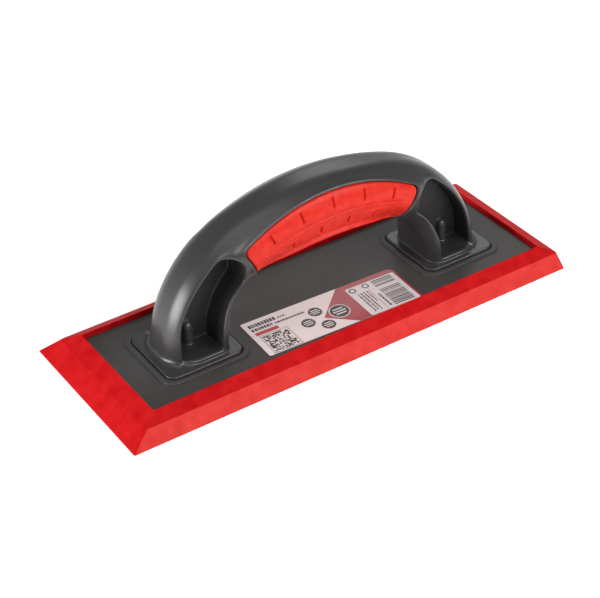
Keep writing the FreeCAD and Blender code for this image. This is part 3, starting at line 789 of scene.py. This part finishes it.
def plate_object():
    """The slab with two rounded openings, whose rims rise into the beads and run down into the sockets."""
    mesh = bpy.data.meshes.new("plate_moulding")
    bm = bmesh.new()
    centres = (HANDLE_X - LEG_CENTRE, HANDLE_X + LEG_CENTRE)
    profile = [(0.0, PLATE_LOW[2])]
    for angle in np.linspace(0, math.pi / 2, 5):
        profile.append((PLATE_EDGE * (1 - math.cos(angle)), PLATE_TOP - PLATE_EDGE * (1 - math.sin(angle))))
    edge = []
    for inset, z in profile:
        low, high = PLATE_LOW[:2] + inset, PLATE_HIGH[:2] - inset
        outline = rounded_corners(low, high, [PLATE_CORNER] * 4, 4)
        edge.append(new_loop(bm, at_height(outline, z)))
    for below, above in zip(edge, edge[1:]):
        bridge(bm, below, above)
    bm.faces.new(tuple(reversed(edge[0])))
    border = edge[-1]
    holes = []
    for centre in centres:
        rings = [new_loop(bm, ring) for ring in bead_rings(centre)]
        for below, above in zip(rings, rings[1:]):
            bridge(bm, below, above)
        bm.faces.new(rings[0])
        holes.append(rings[-1])
    rims = []
    for rim in [border] + holes:
        for a, b in zip(rim, rim[1:] + rim[:1]):
            rims.append(bm.edges.get((a, b)))
    bmesh.ops.triangle_fill(bm, edges=rims, use_beauty=True)
    bmesh.ops.recalc_face_normals(bm, faces=bm.faces)
    bm.to_mesh(mesh)
    bm.free()
    mesh.shade_smooth()
    return linked_object("plate_moulding", mesh)


# Label: a printed film. Its print is made of thin raised inks, laid out from the film's own middle.
LABEL_LOW, LABEL_HIGH = box_mm("size_label")
LABEL_TURN = math.radians(-2.2)
LABEL_HALF = (43.75, 14.5)
LABEL_CORNERS = (1.0, 1.0, 3.5, 1.0)
# the tinted right part runs round the film's right end and comes to a point on its left
TINT_FROM, TINT_START, TINT_END = 30, [(6.8, -14.5)], [(10.9, 14.5), (-6.4, -3.0)]
INK = 0.02
FILM_INK, TINT_INK, PANEL_INK, DARK_INK, RED_INK = range(5)
PANEL_LOW, PANEL_HIGH = (14.0, -14.3), (42.6, 11.0)
# badges: x, y and radius of each; their dark part, bar rows and bar lengths are shares of the radius
BADGE_DARK = 0.9
BADGE_BARS = ((-0.36, 0.52), (0, 0.66), (0.36, 0.52))
BAR_HALF = 0.08
BADGES = ((2.7, -2.3, 5.4), (-7.7, 3.6, 3.9), (-15.1, -2.4, 3.9), (-7.3, -8.6, 3.9))
CODE_LOW, CODE_CELL, CODE_CELLS = (-39.6, -13.2), 0.64, 21
CODE_MARGIN, CODE_LINE = 1.0, 0.25
# Small print: start, end, and the two sides of each line. The upright lines are turned a quarter.
RED_BARS = ((-41.2, 2.1, -28.6, 4.6), (-43.6, 3.0, -41.2, 3.2))
LEVEL_LINES = (
    (-41.4, -26.4, 9.0, 11.6),
    (-41.4, -30.0, 5.9, 7.9),
    (-25.4, -20.6, 9.4, 10.5),
    (-28.4, -12.4, 6.0, 7.3),
)
UPRIGHT_LINES = ((-4.2, 12.2, 17.2), (-4.2, 12.2, 18.9), (-4.2, 12.2, 20.6), (-4.2, 6.0, 22.3))
UPRIGHT_LINE_WIDTH = 0.85
STRIPES = (28.6, 40.2)
STRIPES_START, STRIPES_END = 10.1, -12.6
STRIPE_GAPS = ((2.6, 4.4), (-2.2, -1.2))
MARKS = ((16.9, 8.1), (24.6, 8.4))
MARK_RADIUS, MARK_HOLE = 1.9, 1.2


def label_block(bm, outline, bottom, top, index):
    """A thin solid over an outline that is given in the label's own frame."""
    middle = (LABEL_LOW + LABEL_HIGH) / 2
    c, s = math.cos(LABEL_TURN), math.sin(LABEL_TURN)
    flat = [(middle[0] + x * c - y * s, middle[1] + x * s + y * c) for x, y in outline]
    below = new_loop(bm, at_height(flat, bottom))
    above = new_loop(bm, at_height(flat, top))
    faces = [bm.faces.new(tuple(reversed(below))), bm.faces.new(above)]
    for face in faces + bridge(bm, below, above):
        face.material_index = index


def strip(x0, y0, x1, y1):
    return [(x0, y0), (x1, y0), (x1, y1), (x0, y1)]


def frame_strips(x0, y0, x1, y1, width):
    """Four strips round the inside of a rectangle."""
    return [
        strip(x0, y0, x1, y0 + width),
        strip(x0, y1 - width, x1, y1),
        strip(x0, y0 + width, x0 + width, y1 - width),
        strip(x1 - width, y0 + width, x1, y1 - width),
    ]


def disc(x, y, radius, steps=40):
    angles = [2 * math.pi * i / steps for i in range(steps)]
    return [(x + radius * math.cos(angle), y + radius * math.sin(angle)) for angle in angles]


def dashes(dice, start, end, low, high, upright=False):
    """A row of short blocks of uneven length that stands for a line of small print."""
    blocks = []
    at = start
    while at < end - 0.5:
        length = min(dice.uniform(0.5, 1.5), end - at)
        box = strip(at, low, at + length, high)
        blocks.append([(x, -y) for y, x in box] if upright else box)
        at += length + dice.uniform(0.25, 0.45)
    return blocks


def label_object():
    dice = random.Random(7)
    mesh = bpy.data.meshes.new("label_sheet")
    bm = bmesh.new()
    base, top = LABEL_LOW[2], LABEL_HIGH[2]
    film = rounded_corners((-LABEL_HALF[0], -LABEL_HALF[1]), LABEL_HALF, LABEL_CORNERS, 6)
    label_block(bm, film, base, top, FILM_INK)
    right_end = [point for point in film if point[0] > TINT_FROM]
    label_block(bm, TINT_START + right_end + TINT_END, top, top + INK, TINT_INK)
    level = top + INK
    label_block(bm, rounded_corners(PANEL_LOW, PANEL_HIGH, [0.8] * 4, 4), level, level + INK, PANEL_INK)
    level += INK

    def ink(outlines, index, lift=0):
        for outline in outlines:
            label_block(bm, outline, level + lift * INK, level + (lift + 1) * INK, index)

    # badges: a dark disc with a pale ring and three pale bars
    for x, y, radius in BADGES:
        ink([disc(x, y, radius)], PANEL_INK)
        ink([disc(x, y, radius * BADGE_DARK)], DARK_INK, 1)
        for row, reach in BADGE_BARS:
            half = radius * reach
            low, high = y + radius * (row - BAR_HALF), y + radius * (row + BAR_HALF)
            ink([strip(x - half, low, x + half, high)], PANEL_INK, 2)
    # matrix of square cells in a frame
    span = CODE_CELL * CODE_CELLS
    x0, y0 = CODE_LOW
    frame_low = (x0 - CODE_MARGIN, y0 - CODE_MARGIN)
    frame_high = (x0 + span + CODE_MARGIN, y0 + span + CODE_MARGIN)
    ink(frame_strips(*frame_low, *frame_high, CODE_LINE), DARK_INK)
    for row in range(CODE_CELLS):
        for column in range(CODE_CELLS):
            if dice.random() < 0.5:
                x, y = x0 + column * CODE_CELL, y0 + row * CODE_CELL
                ink([strip(x, y, x + CODE_CELL * 0.98, y + CODE_CELL * 0.98)], DARK_INK)
    # rows of small print
    for bar in RED_BARS:
        ink([strip(*bar)], RED_INK)
    for line in LEVEL_LINES:
        ink(dashes(dice, *line), DARK_INK)
    for start, end, x in UPRIGHT_LINES:
        ink(dashes(dice, start, end, x, x + UPRIGHT_LINE_WIDTH, upright=True), DARK_INK)
    ink(dashes(dice, -5.0, 13.0, 24.0, 24.35, upright=True), RED_INK)
    ink(dashes(dice, 0.8, 12.4, 26.0, 27.2, upright=True), DARK_INK)
    # striped code
    at = STRIPES_START
    while at > STRIPES_END:
        thick = dice.choice((0.25, 0.35, 0.5, 0.75))
        if not any(low < at < high for low, high in STRIPE_GAPS):
            ink([strip(STRIPES[0], at - thick, STRIPES[1], at)], DARK_INK)
        at -= thick + dice.choice((0.3, 0.4, 0.6))
    # small round marks
    for x, y in MARKS:
        ink([disc(x, y, MARK_RADIUS)], DARK_INK)
        ink([disc(x, y, MARK_HOLE)], PANEL_INK, 1)
    bmesh.ops.recalc_face_normals(bm, faces=bm.faces)
    for layer in LABEL_LAYERS:
        mesh.materials.append(layer)
    bm.to_mesh(mesh)
    bm.free()
    return linked_object("label_sheet", mesh)


for node, material in (("handle_screws", STEEL), ("bond_film", BOND)):
    wear(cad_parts[node], material)
handle = moulded("handle_moulding", handle_field, "handle_body", HANDLE_CELL)
wear(handle, BLACK)
# Painted shade on the faces deep inside the leg hollows.
second_material(handle, HOLLOW_PAINTED_SHADE, painted_shade_in_hollow)
finish_piece(handle, "handle_body")
grip = moulded("grip_skin", grip_field, "soft_grip", GRIP_CELL)
wear(grip, GRIP)
finish_piece(grip, "soft_grip")
pad = ring_object("pad_moulding", pad_rings())
sharpen(pad)
wear(pad, RED_RUBBER)
# Painted light on the pad's long lower bevels.
second_material(pad, RUBBER_PAINTED_LIGHT, painted_light_on_side_bevel)
finish_piece(pad, "rubber_pad")
plate = plate_object()
sharpen(plate)
wear(plate, PLATE)
finish_piece(plate, "backing_plate")
label = label_object()
finish_piece(label, "size_label")
